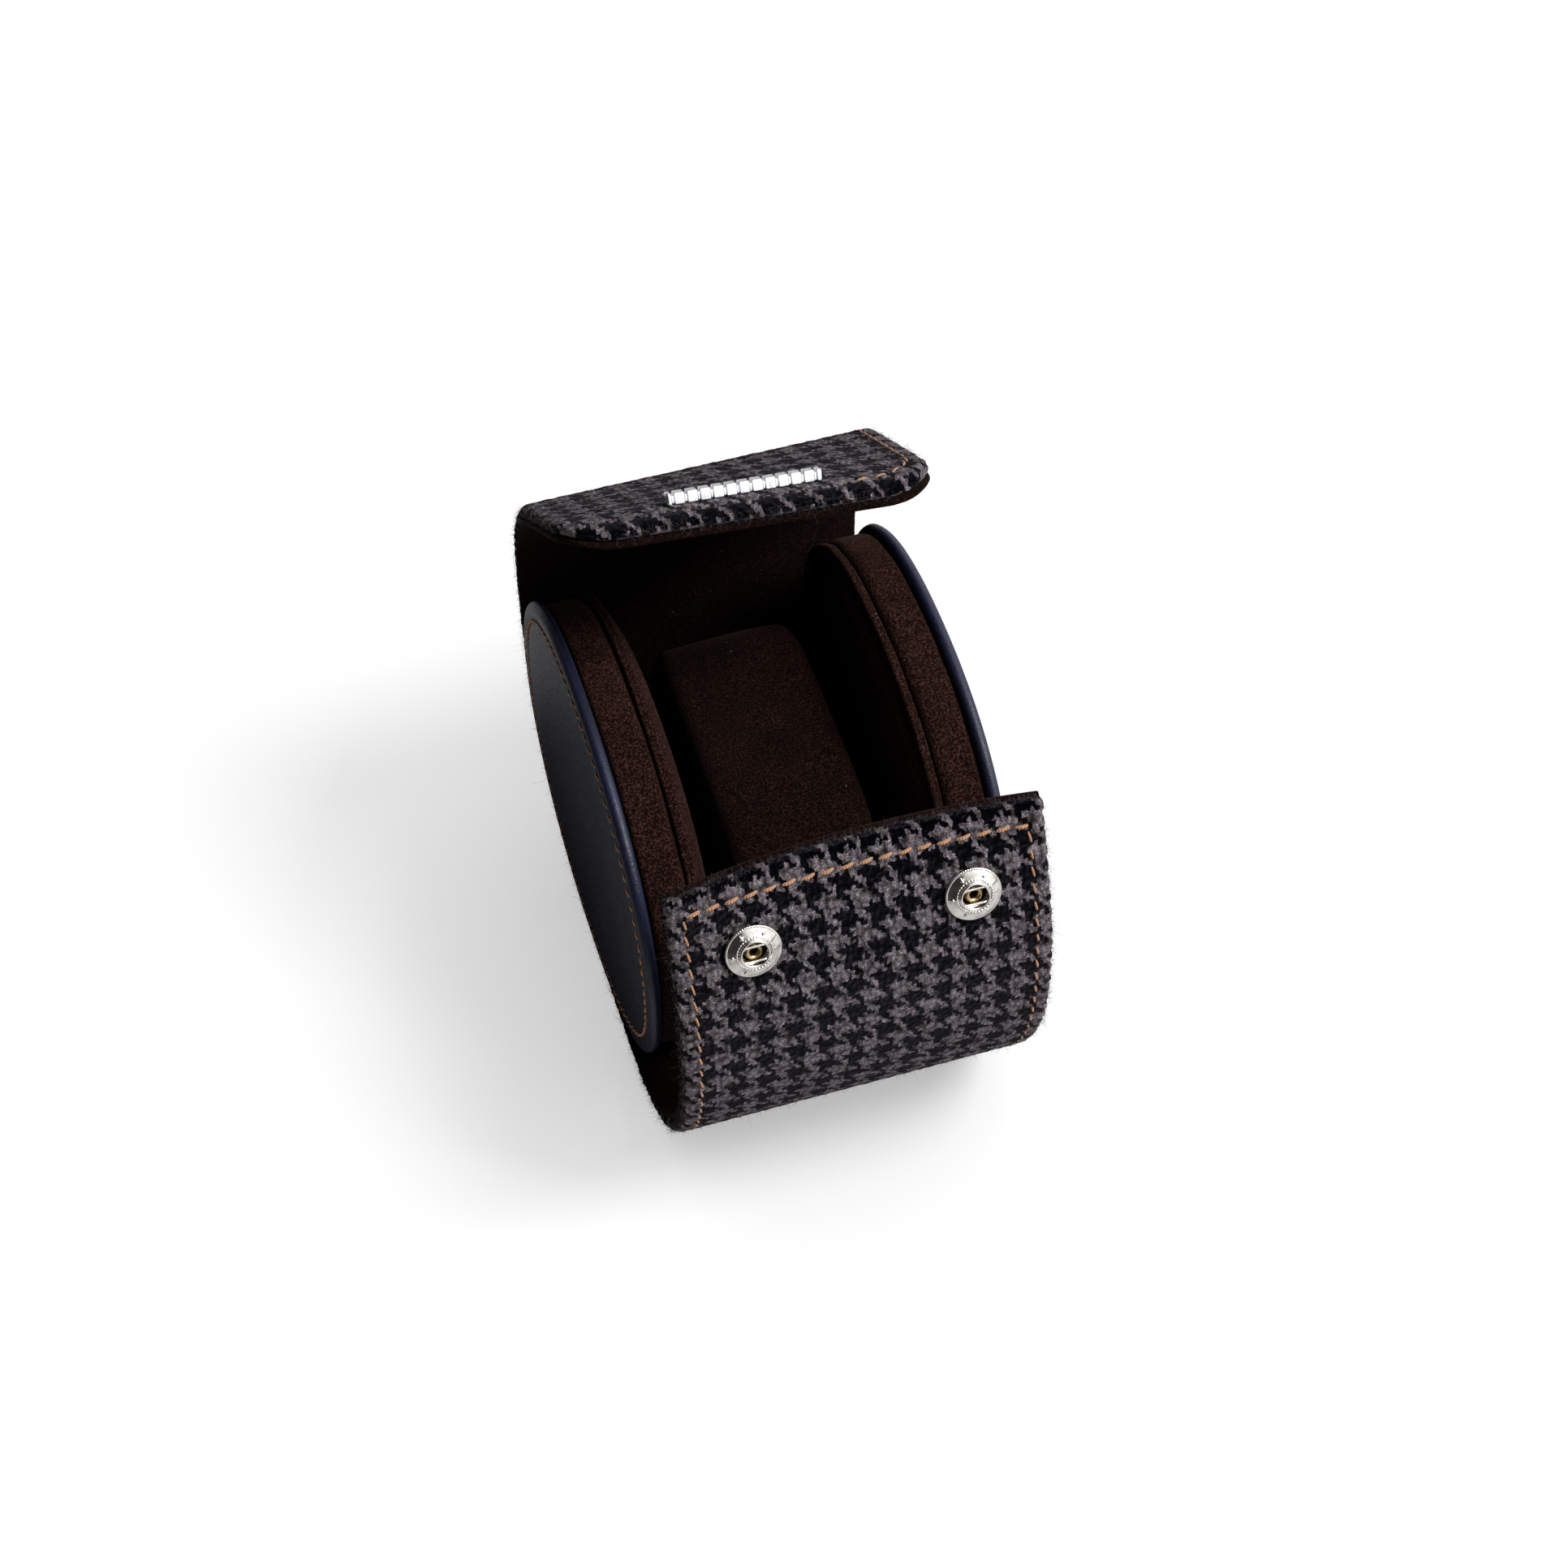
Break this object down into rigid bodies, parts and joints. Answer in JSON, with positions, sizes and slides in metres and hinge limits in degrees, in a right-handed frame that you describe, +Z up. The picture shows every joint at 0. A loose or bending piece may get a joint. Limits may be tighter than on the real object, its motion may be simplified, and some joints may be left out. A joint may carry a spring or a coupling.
{
  "type": "watch travel case",
  "caption": "Small travel case for a watch: a cloth strip wrapped round oval leather ends, with a loose cushion inside and a snap-down flap.",
  "frame": {"origin": "on the surface that the case stands on, below the middle of its open outline", "axes": "+X to the case's right as seen from the front, +Y to the back, +Z up; the two snaps are on the front, towards -Y"},
  "size_m": [0.082, 0.1368, 0.1369],
  "materials": {
    "base_cloth": "napped wool houndstooth",
    "base_stiffener": "bonded interlining",
    "base_lining": "dark brown suede",
    "front_heel_cloth": "napped wool houndstooth",
    "front_heel_lining": "dark brown suede",
    "flap_fold_cloth": "napped wool houndstooth",
    "flap_fold_lining": "dark brown suede",
    "left_leather_cover": "fine-grained navy leather",
    "left_face_board": "greyboard",
    "left_side_band": "dark brown suede",
    "left_side_block": "firm foam",
    "left_inner_plate": "dark brown suede",
    "right_leather_cover": "fine-grained navy leather",
    "right_face_board": "greyboard",
    "right_side_band": "dark brown suede",
    "right_side_block": "firm foam",
    "right_inner_plate": "dark brown suede",
    "watch_cushion": "dark brown suede",
    "front_panel_cloth": "napped wool houndstooth",
    "front_panel_stiffener": "bonded interlining",
    "front_panel_lining": "dark brown suede",
    "left_snap_socket": "polished nickel plate",
    "left_snap_spring": "spring wire",
    "left_socket_rivet": "polished nickel plate",
    "right_snap_socket": "polished nickel plate",
    "right_snap_spring": "spring wire",
    "right_socket_rivet": "polished nickel plate",
    "flap_cloth": "napped wool houndstooth",
    "flap_stiffener": "bonded interlining",
    "flap_lining": "dark brown suede",
    "left_snap_stud": "polished nickel plate",
    "left_stud_rivet": "polished nickel plate",
    "right_snap_stud": "polished nickel plate",
    "right_stud_rivet": "polished nickel plate",
    "trim_bar": "polished"
  },
  "bodies": {
    "case": {"base_cloth": "base_cloth", "base_stiffener": "base_stiffener", "base_lining": "base_lining", "front_heel_cloth": "front_heel_cloth", "front_heel_lining": "front_heel_lining", "flap_fold_cloth": "flap_fold_cloth", "flap_fold_lining": "flap_fold_lining", "left_leather_cover": "left_leather_cover", "left_face_board": "left_face_board", "left_side_band": "left_side_band", "left_side_block": "left_side_block", "left_inner_plate": "left_inner_plate", "right_leather_cover": "right_leather_cover", "right_face_board": "right_face_board", "right_side_band": "right_side_band", "right_side_block": "right_side_block", "right_inner_plate": "right_inner_plate", "watch_cushion": "watch_cushion"},
    "front_panel": {"front_panel_cloth": "front_panel_cloth", "front_panel_stiffener": "front_panel_stiffener", "front_panel_lining": "front_panel_lining", "left_snap_socket": "left_snap_socket", "left_snap_spring": "left_snap_spring", "left_socket_rivet": "left_socket_rivet", "right_snap_socket": "right_snap_socket", "right_snap_spring": "right_snap_spring", "right_socket_rivet": "right_socket_rivet"},
    "flap": {"flap_cloth": "flap_cloth", "flap_stiffener": "flap_stiffener", "flap_lining": "flap_lining", "left_snap_stud": "left_snap_stud", "left_stud_rivet": "left_stud_rivet", "right_snap_stud": "right_snap_stud", "right_stud_rivet": "right_stud_rivet", "trim_bar": "trim_bar"}
  },
  "joints": [
    {"name": "front_panel_bend", "type": "hinge", "parent": "case", "child": "front_panel", "pos_m": [0, -0.03523, 0.00316], "axis": [1, 0, 0], "range_deg": [-20, 40], "deforming": ["front_heel_cloth", "front_heel_lining"]},
    {"name": "flap_bend", "type": "hinge", "parent": "case", "child": "flap", "pos_m": [0, 0.05865, 0.0999], "axis": [1, 0, 0], "range_deg": [-70, 40], "deforming": ["flap_fold_cloth", "flap_fold_lining"]}
  ]
}
